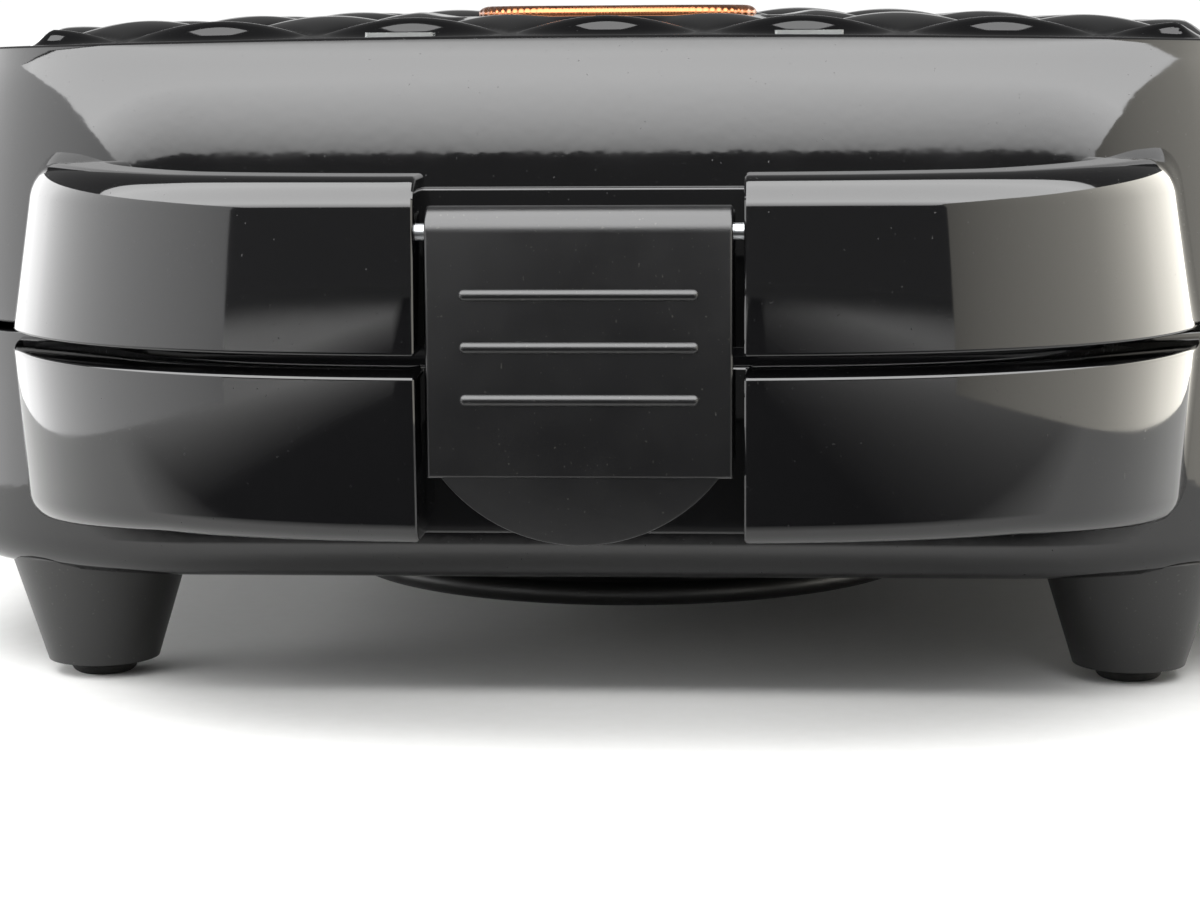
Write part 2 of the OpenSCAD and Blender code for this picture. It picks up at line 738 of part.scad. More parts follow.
module lid_hinge() {
    tall = 3.3 * knuckle_r;
    wall_side = [
        for (i = [0:6])
            let (z = hinge_z + tall * i / 6)
            [body_back_y - lid_in(z) + 2 * seat, z]
    ];
    color(satin) difference() {
        for (s = SIDES) translate([s[1] * hinge_x, 0, 0]) {
            hinge_round(0, knuckle_w);
            translate([-knuckle_w / 2, 0, 0]) rotate([90, 0, 90]) linear_extrude(knuckle_w)
                polygon(concat([[hinge_y + knuckle_r, hinge_z], [hinge_y - knuckle_r, hinge_z]],
                    [for (i = [2:6]) wall_side[i]],
                    [[hinge_y, hinge_z + tall], [hinge_y + knuckle_r, hinge_z + 0.7 * tall]]));
        }
        hinge_bore();
    }
}
module hinge_pin(side) {
    head_t = 0.8;
    color(steel) translate([side * hinge_x - hinge_span / 2 - head_t, hinge_y, hinge_z]) rotate([0, 90, 0]) {
        cylinder(r = hinge_pin_r, h = hinge_span + head_t + 0.6);
        cylinder(r = hinge_pin_r + 1, h = head_t - seat);
    }
}
// Lead from a hole in a back wall to the hinge's axis, where the other half's lead meets it
function lead_route(x, z_hole, z_sign) = [
    [x, body_back_y - wall - 0.6, z_hole],
    [x, body_back_y + 0.3 * hinge_off, z_hole],
    [x, body_back_y + 0.68 * hinge_off, z_hole - z_sign * 0.3 * lead_r],
    [x, hinge_y - 0.1 * hinge_off, z_hole - z_sign * 1.1 * lead_r],
    [x * 0.96, hinge_y, lerp(z_hole, hinge_z, 0.62)],
    [x * 0.86, hinge_y, lerp(z_hole, hinge_z, 0.9)],
    [x * 0.68, hinge_y, hinge_z],
    [x * 0.3, hinge_y, hinge_z],
    [0, hinge_y, hinge_z]
];
// Between a plate's edge and the back wall a lead runs up or down
lead_y = body_back_y - plate_in + 2.6 * lead_r;
module base_lead() {
    z = base_rim_z - lead_drop;
    z_block = floor_z + seat + block_d / 2;
    inside = [[-lead_x, block_back_y + seat, z_block], [-lead_x, lerp(block_back_y, lead_y, 0.6), z_block],
        [-lead_x, lead_y - 0.3 * lead_r, z_block + lead_r], [-lead_x, lead_y, z_block + 3 * lead_r],
        [-lead_x, lead_y, z - 3 * lead_r], [-lead_x, lead_y + 0.5 * lead_r, z - lead_r]];
    color("#d8d4c8") tube(concat(inside, lead_route(-lead_x, z, -1)), lead_r);
}
module lid_lead() {
    z = lid_rim_z + lead_drop;
    top = ledge_z - ledge_t - ledge_slope;
    y_top = body_back_y - lid_in(top) - wall - 1.8 * lead_r;
    inside = [[lead_x, y_top, top], [lead_x, y_top, top - 3 * lead_r],
        [lead_x, lead_y - 0.6 * lead_r, z + 5 * lead_r],
        [lead_x, lead_y, z + 2 * lead_r], [lead_x, lead_y + lead_r, z + 0.4 * lead_r]];
    color("#d8d4c8") tube(concat(inside, lead_route(lead_x, z, 1)), lead_r);
}

// ---- lid ----

module lid_shell() {
    heights = lid_levels(9, lid_top_z - 1.2);
    lip = [[lid_lean - 0.1, lid_top_z - 0.35], [lid_lean + 0.7, lid_top_z], [rim_in - 0.4, lid_top_z],
        [rim_in, lid_top_z - 0.4]];
    ledge = [[rim_in, ledge_z], [rim_in + ledge_w, ledge_z], [rim_in + ledge_w, ledge_z - ledge_t]];
    inner = [for (i = [6:-1:0])
        let (z = lerp(lid_rim_z, ledge_z - ledge_t - ledge_slope, i / 6))
        [lid_in(z) + wall, z]];
    color(black) difference() {
        loft([
            for (p = concat([for (z = heights) [lid_in(z), z]], lip, ledge, inner)) level(p[0], p[1])
        ], true);
        through_back(lead_x, lid_rim_z + lead_drop, lead_r + screw_fit);
    }
}

panel_w = body_w - 2 * panel_in;
panel_d = body_d - 2 * panel_in;
panel_r = corner_r - panel_in;
badge_y = body_front_y + badge_back;
badge_z = panel_edge_z + panel_dome + quilt_h - badge_t;
lamp_y = body_front_y + panel_in + 2 + lamp_d / 2;

function smooth(t) = let (c = min(1, max(0, t))) c * c * (3 - 2 * c);
function quilt(x, y) = let (u = x / quilt_w, v = (y - body_y) / quilt_l)
    quilt_h * pow(abs(sin(180 * (u + v)) * sin(180 * (u - v))), 0.5);
function oval(x, y, grow) = norm([x / (badge_w / 2 + grow), (y - badge_y) / (badge_d / 2 + grow)]);
// Height of the panel at a point that is a share s of the way from the middle to its edge
function panel_z(x, y, s) =
    let (
        dome = panel_dome * (1 - pow(s, 2)),
        ramp = smooth(((1 - s) * panel_d / 2 - quilt_margin + 3) / 5),
        cushion = panel_edge_z + dome + ramp * quilt(x, y) - crown(x, panel_edge_z),
        flat = smooth((1.25 - oval(x, y, badge_d / 7)) / 0.25)
    )
    lerp(cushion, badge_z - seat, flat);

// Point of the panel for u and v from -1 to 1: a grid whose four corners are drawn in to round ones
function panel_point(u, v) = let (
        flat_x = panel_w / 2 - panel_r,
        flat_y = panel_d / 2 - panel_r,
        x = abs(u) * panel_w / 2,
        y = abs(v) * panel_d / 2,
        a = max(0, x - flat_x) / panel_r,
        b = max(0, y - flat_y) / panel_r
    )
    [sign(u) * (min(x, flat_x) + panel_r * a * sqrt(1 - b * b / 2)),
     body_y + sign(v) * (min(y, flat_y) + panel_r * b * sqrt(1 - a * a / 2))];
function lifted(p, z) = [p.x, p.y, z];

module lid_panel() {
    nu = round(panel_w / quilt_step);
    nv = round(panel_d / quilt_step);
    top = [
        for (j = [0:nv], i = [0:nu])
            let (u = 2 * i / nu - 1, v = 2 * j / nv - 1, p = panel_point(u, v))
            lifted(p, panel_z(p.x, p.y, max(abs(u), abs(v))))
    ];
    // The grid's border, anticlockwise, carries the skirt and the rings of the underside
    border = concat([for (i = [0:nu - 1]) i], [for (j = [0:nv - 1]) j * (nu + 1) + nu],
        [for (i = [nu:-1:1]) nv * (nu + 1) + i], [for (j = [nv:-1:1]) j * (nu + 1)]);
    n = len(border);
    m = len(top);
    under_z = panel_edge_z - panel_t - lid_crown;
    rings = [[1, skirt_z], [0.97, skirt_z], [0.965, under_z], [0.7, under_z + lid_crown / 2],
        [0.35, under_z + lid_crown], [0.05, under_z + lid_crown]];
    low = [
        for (r = rings, k = border)
            [top[k].x * r[0], body_y + (top[k].y - body_y) * r[0], r[1]]
    ];
    faces = concat(
        [for (j = [0:nv - 1], i = [0:nu - 1])
            let (k = j * (nu + 1) + i)
            each [[k, k + nu + 1, k + 1], [k + 1, k + nu + 1, k + nu + 2]]],
        [for (i = [0:n - 1]) [border[i], border[(i + 1) % n], m + (i + 1) % n, m + i]],
        [for (r = [0:len(rings) - 2], i = [0:n - 1])
            let (k = m + r * n)
            [k + i, k + (i + 1) % n, k + n + (i + 1) % n, k + n + i]],
        [[for (i = [0:n - 1]) m + (len(rings) - 1) * n + i]]
    );
    color(black) difference() {
        polyhedron(points = concat(top, low), faces = faces, convexity = 8);
        at_lamps() translate([0, 0, skirt_z]) linear_extrude(20)
            square([lamp_w + 4 * seat, lamp_d + 4 * seat], center = true);
    }
}
module at_lamps() {
    for (s = SIDES) translate([s[1] * lamp_x, lamp_y, 0]) children();
}
module copper_badge() {
    color(copper) translate([0, badge_y, badge_z]) linear_extrude(badge_t) difference() {
        badge_outline(0);
        badge_outline(4);
    }
}
module badge_outline(inset) {
    rounded(badge_w - 2 * inset, badge_d - 2 * inset, badge_d / 2 - inset - 0.01);
}
module lid_frame() {
    color(satin) difference() {
        union() {
            slab(panel_w, panel_d, panel_r, ledge_z + seat, frame_t);
            at_posts() post(ledge_z + 1, upper_back_z + seat, upper_shield_z + shield_t + seat);
        }
        at_posts() translate([0, 0, ledge_z]) cylinder(r = screw_r + screw_fit, h = 10);
    }
}
board_t = 1.6;
module lamp_board() {
    w = 2 * lamp_x + 1.5 * lamp_w;
    color("#2f5a3a") translate([-w / 2, lamp_y - 0.2 * lamp_d, ledge_z + frame_t + 2 * seat])
        cube([w, 2.3 * lamp_d, board_t]);
}
module lamp(side) {
    z0 = ledge_z + frame_t + 3 * seat + board_t;
    color("#d9dcdf") translate([side * lamp_x, lamp_y, z0])
        linear_extrude(panel_edge_z + lamp_proud - z0) rounded(lamp_w, lamp_d, 0.6);
}

// ---- feet ----

module leg(c) {
    y = body_y + c[2] * (body_d / 2 - foot_in);
    rise = 1.4;
    shoulder = 1.8;
    color(satin) difference() {
        translate([c[1] * (body_w / 2 - foot_side), y, 0]) {
            translate([0, 0, pad_h]) cylinder(r1 = leg_low_r, r2 = leg_top_r, h = base_z + rise - pad_h);
            translate([0, 0, base_z + rise])
                cylinder(r1 = leg_top_r, r2 = leg_top_r - shoulder, h = shoulder);
        }
        corner_body(c[1], c[2], seat, false);
    }
}
module foot_pad(c) {
    y = body_y + c[2] * (body_d / 2 - foot_in);
    round_r = 1.4;
    color("#111112") translate([c[1] * (body_w / 2 - foot_side), y, 0]) rotate_extrude() {
        polygon([[0, 0], [pad_low_r, 0], [pad_low_r + round_r, round_r],
            [pad_top_r, pad_h - seat], [0, pad_h - seat]]);
        intersection() {
            translate([pad_low_r, round_r]) circle(r = round_r);
            square([pad_low_r + round_r, pad_h - seat]);
        }
    }
}

// ---- assembly ----

base_shell();
base_floor();
base_handle();
latch_catch();
lower_plate();
lower_element();
lower_shield();
lower_posts();
lower_screws();
thermostat();
thermal_fuse();
terminal_block();
cord_gland();
cord_store();
cord_store_screws();
base_hinge();
base_lead();
lid_shell();
lid_panel();
copper_badge();
lid_frame();
lid_handle();
upper_plate();
upper_element();
upper_shield();
upper_screws();
lamp_board();
lamp(-1);  // power_lamp
lamp(1);  // ready_lamp
lid_hinge();
lid_lead();
latch();
latch_pin();
latch_spring();
for (c = CORNERS) {
    leg(c);
    foot_pad(c);
}
for (s = SIDES) {
    hinge_pin(s[1]);
}
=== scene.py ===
"""Electric maker for small ring doughnuts: its finishes, its smooth outer mouldings and a plain studio."""
import bpy
import bmesh
import math
from mathutils import Matrix, Vector


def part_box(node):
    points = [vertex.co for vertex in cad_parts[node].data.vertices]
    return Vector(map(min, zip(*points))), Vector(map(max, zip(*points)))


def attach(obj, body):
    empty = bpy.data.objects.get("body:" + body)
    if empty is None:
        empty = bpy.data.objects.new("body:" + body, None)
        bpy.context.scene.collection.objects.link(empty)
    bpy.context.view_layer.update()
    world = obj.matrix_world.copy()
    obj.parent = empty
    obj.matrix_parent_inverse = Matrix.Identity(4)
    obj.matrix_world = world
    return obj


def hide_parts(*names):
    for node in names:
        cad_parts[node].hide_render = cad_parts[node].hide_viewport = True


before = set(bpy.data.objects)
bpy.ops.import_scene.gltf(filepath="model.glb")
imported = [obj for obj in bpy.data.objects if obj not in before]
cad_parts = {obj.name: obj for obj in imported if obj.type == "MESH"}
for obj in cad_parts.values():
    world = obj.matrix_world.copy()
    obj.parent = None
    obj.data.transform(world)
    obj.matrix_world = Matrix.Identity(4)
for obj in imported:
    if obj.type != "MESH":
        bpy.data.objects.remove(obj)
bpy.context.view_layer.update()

MM = 0.001
DEG = math.pi / 180


# ---- sizes, from the frame where it has them ----

def low(node):
    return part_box(node)[0]


def high(node):
    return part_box(node)[1]


BODY_W = high("base_shell").x - low("base_shell").x
BODY_FRONT = low("base_shell").y
BODY_BACK = high("base_shell").y
BODY_Y = (BODY_FRONT + BODY_BACK) / 2
BODY_D = BODY_BACK - BODY_FRONT
CORNER_R = 52 * MM
WALL = 2.4 * MM
BASE_Z = low("base_shell").z
BASE_RIM_Z = high("base_shell").z
BASE_ROUND_W = 5 * MM
BASE_ROUND_H = 6 * MM
FLANGE_T = 1.2 * MM
FLANGE_IN = 12 * MM
LID_RIM_Z = low("lid_shell").z
LID_TOP_Z = high("lid_shell").z
LID_LEAN = 6.4 * MM
LID_LEAN_POWER = 2
LID_CROWN = 1.9 * MM
LIP_W = 2.6 * MM
LEDGE_Z = 93 * MM
LEDGE_W = 5 * MM
LEDGE_T = 2.6 * MM

PANEL_IN = LID_LEAN + LIP_W + 0.3 * MM
PANEL_EDGE_Z = LID_TOP_Z - 0.4 * MM
PANEL_DOME = 2.2 * MM
QUILT = 30.6 * MM
QUILT_H = 2.8 * MM
QUILT_MARGIN = 9 * MM

# The whole depth is centred on Y = 0, so the handle reaches as far forward as the hinges reach back
HANDLE_FRONT = -high("base_hinge").y
HANDLE_HALF_W = 94.5 * MM
HANDLE_CURVE_D = 90 * MM
HANDLE_POWER = 3
BAR_T = 15.5 * MM
BAR_TOP_Z = 83 * MM
BAR_LOW_Z = low("base_handle").z
BAR_SPLIT_HIGH = low("lid_handle").z
BAR_SPLIT_LOW = high("base_handle").z
BAR_LEAN = 1 * MM
ARM_TUCK = 2 * MM
ROOT_W = 10 * MM
ROOT_H = 3.6 * MM
# How far round the curve, from 0 in the middle to 1 at the arm's end, the root and the thinning begin
ROOT_FROM = 0.78
TAPER_FROM = 0.28
RECESS_W = 45 * MM
RECESS_D = 12 * MM
RECESS_DROP = 2 * MM

LATCH_W = high("latch").x - low("latch").x
LATCH_T = 2.8 * MM
LATCH_BARREL_R = 3.6 * MM
LATCH_AXIS = Vector((0, HANDLE_FRONT + 4.5 * MM, high("latch").z - LATCH_BARREL_R))
LATCH_FACE_Y = LATCH_AXIS.y - LATCH_BARREL_R
LATCH_LOW_Z = 41.8 * MM
TAB_R = 24.1 * MM
RIB_W = 32.9 * MM
RIB_R = 0.9 * MM


# ---- making a piece by hand ----

def deselect():
    if bpy.context.mode != "OBJECT":
        bpy.ops.object.mode_set(mode="OBJECT")
    bpy.ops.object.select_all(action="DESELECT")


def begin(name, scale=None):
    """Names the primitive just added, puts its place into its mesh and opens it for editing, all selected."""
    piece = bpy.context.object
    piece.name = name
    if scale:
        piece.scale = scale
    bpy.ops.object.transform_apply(location=True, rotation=True, scale=True)
    bpy.ops.object.mode_set(mode="EDIT")
    bpy.ops.mesh.select_all(action="SELECT")
    return piece


def plane(name, centre, size, turn=(0, 0, 0)):
    deselect()
    bpy.ops.mesh.primitive_plane_add(size=1, location=centre, rotation=turn)
    return begin(name, (size[0], size[1], 1))


def block(name, lowest, highest):
    deselect()
    centre = [(a + b) / 2 for a, b in zip(lowest, highest)]
    bpy.ops.mesh.primitive_cube_add(size=1, location=centre)
    return begin(name, [b - a for a, b in zip(lowest, highest)])


def rod(name, centre, radius, length, turn=(0, 0, 0), around=48):
    deselect()
    bpy.ops.mesh.primitive_cylinder_add(vertices=around, radius=radius, depth=length, location=centre, rotation=turn)
    return begin(name)


def pick(piece, kind, test):
    """Selects the faces, edges or vertices whose middle passes a test; faces are also given their normal."""
    mode = {"faces": "FACE", "edges": "EDGE", "verts": "VERT"}[kind]
    bpy.ops.mesh.select_mode(type=mode)
    bpy.ops.mesh.select_all(action="DESELECT")
    mesh = bmesh.from_edit_mesh(piece.data)
    for part in getattr(mesh, kind):
        if kind == "faces":
            part.select_set(bool(test(part.calc_center_median(), part.normal)))
        elif kind == "edges":
            part.select_set(bool(test(*(v.co for v in part.verts))))
        else:
            part.select_set(bool(test(part.co)))
    mesh.select_flush_mode()
    bmesh.update_edit_mesh(piece.data)


def shape(piece, move):
    """Moves every vertex to where a formula puts it, for a form that no operator makes."""
    mesh = bmesh.from_edit_mesh(piece.data)
    for v in mesh.verts:
        v.co = move(v.co)
    mesh.normal_update()
    bmesh.update_edit_mesh(piece.data)


def outward():
    bpy.ops.mesh.select_all(action="SELECT")
    bpy.ops.mesh.remove_doubles(threshold=0.000002)
    bpy.ops.mesh.normals_make_consistent(inside=False)


def modify(piece, kind, **settings):
    """Adds a modifier with its settings and applies it."""
    bpy.ops.object.mode_set(mode="OBJECT")
    made = piece.modifiers.new(kind.lower(), kind)
    for name, value in settings.items():
        setattr(made, name, value)
    bpy.ops.object.modifier_apply(modifier=made.name)


def cut(piece, cutter):
    """Takes a cutter out of a piece."""
    deselect()
    piece.select_set(True)
    bpy.context.view_layer.objects.active = piece
    modify(piece, "BOOLEAN", object=cutter, operation="DIFFERENCE", solver="EXACT")
    bpy.data.objects.remove(cutter)


def joined(name, pieces):
    deselect()
    for piece in pieces:
        piece.select_set(True)
    bpy.context.view_layer.objects.active = pieces[0]
    bpy.ops.object.join()
    pieces[0].name = name
    return pieces[0]


def done(piece, body, material, instead_of=(), smooth=30):
    """Closes a piece: shading, finish, body, and the nodes that it stands for."""
    deselect()
    piece.select_set(True)
    bpy.context.view_layer.objects.active = piece
    bpy.ops.object.shade_smooth_by_angle(angle=smooth * DEG)
    piece.data.materials.clear()
    piece.data.materials.append(material)
    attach(piece, body)
    if instead_of:
        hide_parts(*instead_of)
    return piece


# ---- materials ----

def colour(code):
    """An sRGB hex colour as linear red, green, blue and one."""
    parts = [int(code[i:i + 2], 16) / 255 for i in (1, 3, 5)]
    return [p / 12.92 if p <= 0.04045 else ((p + 0.055) / 1.055) ** 2.4 for p in parts] + [1]


def add(material, kind, links=(), values=(), **settings):
    """Adds one node: its settings, its socket values, and what its sockets are linked from."""
    tree = material.node_tree
    made = tree.nodes.new(kind)
    for name, value in settings.items():
        setattr(made, name, value)
    for socket, value in dict(values).items():
        made.inputs[socket].default_value = value
    for socket, source in dict(links).items():
        tree.links.new(source, made.inputs[socket])
    return made


def blank(name, **values):
    """A material with a Principled shader set to these values, and that shader."""
    material = bpy.data.materials.new(name)
    material.use_nodes = True
    shader = material.node_tree.nodes["Principled BSDF"]
    for socket, value in values.items():
        shader.inputs[socket.replace("_", " ")].default_value = value
    return material, shader


def grain(material, size, detail=2.0, stretch=(1, 1, 1), roughness=0.5):
    """Noise whose lumps are a real size across, in metres, on the piece's own coordinates."""
    place = add(material, "ShaderNodeTexCoord")
    stretched = add(material, "ShaderNodeMapping", {"Vector": place.outputs["Object"]}, {"Scale": stretch})
    return add(material, "ShaderNodeTexNoise", {"Vector": stretched.outputs[0]},
               {"Scale": 1 / size, "Detail": detail, "Roughness": roughness}).outputs["Fac"]


def between(material, value, bottom, top, first, last):
    """Spreads a value from bottom..top over first..last."""
    return add(material, "ShaderNodeMapRange", {"Value": value},
               {"From Min": bottom, "From Max": top, "To Min": first, "To Max": last}).outputs[0]


def mixed(material, share, first, last):
    """Colours first and last, mixed by a share."""
    ramp = add(material, "ShaderNodeValToRGB", {"Fac": share})
    ramp.color_ramp.elements[0].color = colour(first)
    ramp.color_ramp.elements[1].color = colour(last)
    return ramp.outputs["Color"]


def relief(material, shader, height, depth, under=None):
    """Raises a height pattern by a real depth, in metres, over another relief if there is one."""
    links = {"Height": height}
    if under:
        links["Normal"] = under.outputs[0]
    bump = add(material, "ShaderNodeBump", links, {"Distance": depth, "Strength": 1.0})
    material.node_tree.links.new(bump.outputs[0], shader.inputs["Normal"])
    return bump


def link(material, value, socket):
    material.node_tree.links.new(value, socket)


def gloss_abs(name, peel, peel_depth, shine=0.5):
    """High-gloss moulded ABS: near black, mirror-like, with the waviness and dust haze of a moulding."""
    material, shader = blank(name, IOR=1.52, Specular_IOR_Level=shine)
    link(material, mixed(material, grain(material, 30 * MM), "#0a0a0b", "#0e0e0f"), shader.inputs["Base Color"])
    dust = grain(material, 0.45 * MM, detail=1.0)
    speck = between(material, dust, 0.74, 0.8, 0.0, 0.35)
    haze = between(material, grain(material, 14 * MM, detail=5.0), 0.35, 0.75, 0.035, 0.075)
    total = add(material, "ShaderNodeMath", {0: speck, 1: haze}, operation="ADD")
    link(material, total.outputs[0], shader.inputs["Roughness"])
    relief(material, shader, grain(material, peel, detail=1.0), peel_depth)
    return material


def satin_abs(name, dark, light, roughness, sparks, sparks_depth):
    """ABS from a spark-eroded mould: an even dull sheen over a fine grain, with a little pale dust in it."""
    material, shader = blank(name, IOR=1.52)
    tone = mixed(material, grain(material, 12 * MM, detail=4.0), dark, light)
    dust = between(material, grain(material, 0.45 * MM, detail=0.0), 0.79, 0.84, 0.0, 0.14)
    dusty = add(material, "ShaderNodeMix", {0: dust, 6: tone}, {7: colour("#77756f")}, data_type="RGBA")
    link(material, dusty.outputs[2], shader.inputs["Base Color"])
    sheen = between(material, grain(material, 6 * MM, detail=4.0), 0.3, 0.7, roughness - 0.015, roughness + 0.02)
    link(material, sheen, shader.inputs["Roughness"])
    relief(material, shader, grain(material, sparks, detail=1.0), sparks_depth)
    return material


def matt_rubber():
    """Moulded black rubber: no shine, a dry bloom and a fine tooth."""
    material, shader = blank("moulded_rubber", IOR=1.5, Specular_IOR_Level=0.3)
    link(material, mixed(material, grain(material, 5 * MM, detail=5.0), "#0c0c0c", "#181817"),
         shader.inputs["Base Color"])
    link(material, between(material, grain(material, 1 * MM), 0.3, 0.7, 0.68, 0.85), shader.inputs["Roughness"])
    relief(material, shader, grain(material, 0.4 * MM), 0.03 * MM)
    return material


def nonstick():
    """PTFE-type coating sprayed on cast aluminium: dark, slightly pebbled, with tiny bright flakes."""
    material, shader = blank("nonstick_coating", IOR=1.38)
    flake = between(material, grain(material, 0.35 * MM, detail=0.0), 0.7, 0.76, 0.0, 1.0)
    link(material, mixed(material, flake, "#1b1b1d", "#6d6e72"), shader.inputs["Base Color"])
    link(material, between(material, grain(material, 9 * MM, detail=4.0), 0.3, 0.7, 0.36, 0.48),
         shader.inputs["Roughness"])
    relief(material, shader, grain(material, 0.8 * MM, detail=2.0), 0.02 * MM)
    return material


def plated_steel():
    """Zinc-plated steel: grey and bright, with the faint cloudiness of plating and fine drawn lines."""
    material, shader = blank("zinc_plated_steel", Metallic=1.0)
    link(material, mixed(material, grain(material, 4 * MM, detail=5.0), "#9da0a3", "#c6c8ca"),
         shader.inputs["Base Color"])
    link(material, between(material, grain(material, 2 * MM, detail=4.0), 0.3, 0.7, 0.26, 0.42),
         shader.inputs["Roughness"])
    relief(material, shader, grain(material, 0.2 * MM, stretch=(0.05, 1, 1)), 0.006 * MM)
    return material


def heater_sheath():
    """Steel tube of a heating element, straw and brown from heat."""
    material, shader = blank("heat_tinted_steel", Metallic=1.0)
    link(material, mixed(material, grain(material, 18 * MM, detail=4.0), "#5a4c42", "#8b8278"),
         shader.inputs["Base Color"])
    link(material, between(material, grain(material, 3 * MM), 0.3, 0.7, 0.38, 0.55), shader.inputs["Roughness"])
    relief(material, shader, grain(material, 0.5 * MM), 0.01 * MM)
    return material


def copper_plate(name, dark, light, reeds):
    """Copper-coloured electroplating on plastic: warm, nearly mirror-bright, with reeds 1.05 mm apart."""
    material, shader = blank(name, Metallic=1.0)
    link(material, mixed(material, grain(material, 8 * MM, detail=3.0), dark, light), shader.inputs["Base Color"])
    link(material, between(material, grain(material, 3 * MM), 0.3, 0.7, 0.2, 0.32), shader.inputs["Roughness"])
    place = add(material, "ShaderNodeTexCoord")
    wave = add(material, "ShaderNodeTexWave", {"Vector": place.outputs["Object"]},
               {"Scale": 2 * math.pi / (20 * 1.05 * MM)}, bands_direction="X")
    brushed = relief(material, shader, grain(material, 0.3 * MM, stretch=(0.04, 1, 1)), 0.005 * MM)
    relief(material, shader, wave.outputs["Fac"], reeds, brushed)
    return material


def frosted_acrylic():
    """Clear acrylic with a lightly frosted face, as on an indicator lens."""
    material, shader = blank("frosted_acrylic", IOR=1.49, Transmission_Weight=0.55)
    link(material, mixed(material, grain(material, 3 * MM), "#c4c7c6", "#dcdedc"), shader.inputs["Base Color"])
    link(material, between(material, grain(material, 1 * MM), 0.3, 0.7, 0.12, 0.2), shader.inputs["Roughness"])
    relief(material, shader, grain(material, 0.6 * MM), 0.004 * MM)
    return material


def natural_nylon():
    """Uncoloured nylon: cream, waxy, slightly yellowed near the heat."""
    material, shader = blank("natural_nylon", IOR=1.53, Subsurface_Weight=0.1, Subsurface_Scale=0.002)
    link(material, mixed(material, grain(material, 7 * MM, detail=4.0), "#cdbf9d", "#e0d8c2"),
         shader.inputs["Base Color"])
    link(material, between(material, grain(material, 2 * MM), 0.3, 0.7, 0.4, 0.55), shader.inputs["Roughness"])
    relief(material, shader, grain(material, 0.5 * MM), 0.01 * MM)
    return material


def glass_sleeve():
    """Braided glass-fibre sleeve over a lead: off-white, with crossing strands 0.8 mm apart."""
    material, shader = blank("glass_fibre_sleeve", IOR=1.5, Sheen_Weight=0.3)
    place = add(material, "ShaderNodeTexCoord").outputs["Object"]
    strands = []
    for tilt in (45, -45):
        turned = add(material, "ShaderNodeMapping", {"Vector": place}, {"Rotation": (tilt * DEG, tilt * DEG, 0)})
        strands.append(add(material, "ShaderNodeTexWave", {"Vector": turned.outputs[0]},
                           {"Scale": 2 * math.pi / (20 * 0.8 * MM), "Distortion": 0.0}).outputs["Fac"])
    braid = add(material, "ShaderNodeMath", {0: strands[0], 1: strands[1]}, operation="MULTIPLY").outputs[0]
    link(material, mixed(material, braid, "#8d8878", "#d9d4c4"), shader.inputs["Base Color"])
    link(material, between(material, braid, 0.0, 1.0, 0.8, 0.6), shader.inputs["Roughness"])
    relief(material, shader, braid, 0.15 * MM)
    return material


def circuit_board():
    """Green solder lacquer over copper tracks 1.5 mm apart."""
    material, shader = blank("solder_lacquer", IOR=1.55)
    place = add(material, "ShaderNodeTexCoord").outputs["Object"]
    tracks = add(material, "ShaderNodeTexWave", {"Vector": place},
                 {"Scale": 2 * math.pi / (20 * 1.5 * MM), "Distortion": 0.6}, bands_direction="Y").outputs["Fac"]
    link(material, mixed(material, between(material, tracks, 0.55, 0.65, 0.0, 1.0), "#15402a", "#2b6a3f"),
         shader.inputs["Base Color"])
    link(material, between(material, tracks, 0.0, 1.0, 0.3, 0.24), shader.inputs["Roughness"])
    relief(material, shader, tracks, 0.03 * MM)
    return material


# The lid's and base's walls show the moulding's waviness most; the handle's caps are flatter, the quilted top duller
WALL_ABS = gloss_abs("piano_black_abs_walls", 2.2 * MM, 0.006 * MM)
CAP_ABS = gloss_abs("piano_black_abs_caps", 5 * MM, 0.003 * MM)
PANEL_ABS = gloss_abs("black_abs_quilted_top", 3 * MM, 0.004 * MM, 0.2)
LATCH_ABS = satin_abs("satin_abs_latch", "#08080a", "#0c0c0d", 0.3, 0.35 * MM, 0.004 * MM)
LEG_ABS = satin_abs("satin_abs_legs", "#0e0e0e", "#121211", 0.42, 0.4 * MM, 0.008 * MM)
INNER_ABS = satin_abs("satin_abs_inner", "#131314", "#1a1a1b", 0.5, 0.5 * MM, 0.01 * MM)
RUBBER = matt_rubber()
NONSTICK = nonstick()
STEEL = plated_steel()
SHEATH = heater_sheath()
COPPER = copper_plate("copper_plating", "#8a5234", "#a96f4c", 0.12 * MM)
# The badge's middle plate is the same copper plating made darker: painted shade, for copper that sits back in shade
SHADED_COPPER = copper_plate("copper_plating_painted_shade", "#4a2f22", "#6e4632", 0.01 * MM)
ACRYLIC = frosted_acrylic()
NYLON = natural_nylon()
SLEEVE = glass_sleeve()
BOARD = circuit_board()


# ---- lid and base: one outline, inset step by step up or down the wall ----

def outline_plate(name, z, faces_up, width=BODY_W, depth=BODY_D, radius=CORNER_R):
    """The body's outline as one flat face, with points along its straight sides too."""
    piece = plane(name, (0, BODY_Y, z), (width, depth))
    if not faces_up:
        bpy.ops.mesh.flip_normals()
    bpy.ops.mesh.bevel(affect="VERTICES", offset=radius, segments=20)
    pick(piece, "edges", lambda a, b: (a - b).length > 50 * MM)
    bpy.ops.mesh.subdivide(number_cuts=9)
    pick(piece, "faces", lambda middle, normal: True)
    return piece


def climb(levels, faces_up=True):
    """Runs a wall on through its levels, each an inset from the body's outline and a height."""
    for (in0, z0), (in1, z1) in zip(levels, levels[1:]):
        rise = z1 - z0 if faces_up else z0 - z1
        bpy.ops.mesh.inset(thickness=in1 - in0, depth=rise, use_boundary=True, use_even_offset=True)


def lid_in(z):
    return LID_LEAN * max(0, (z - LID_RIM_Z) / (LID_TOP_Z - LID_RIM_Z)) ** LID_LEAN_POWER


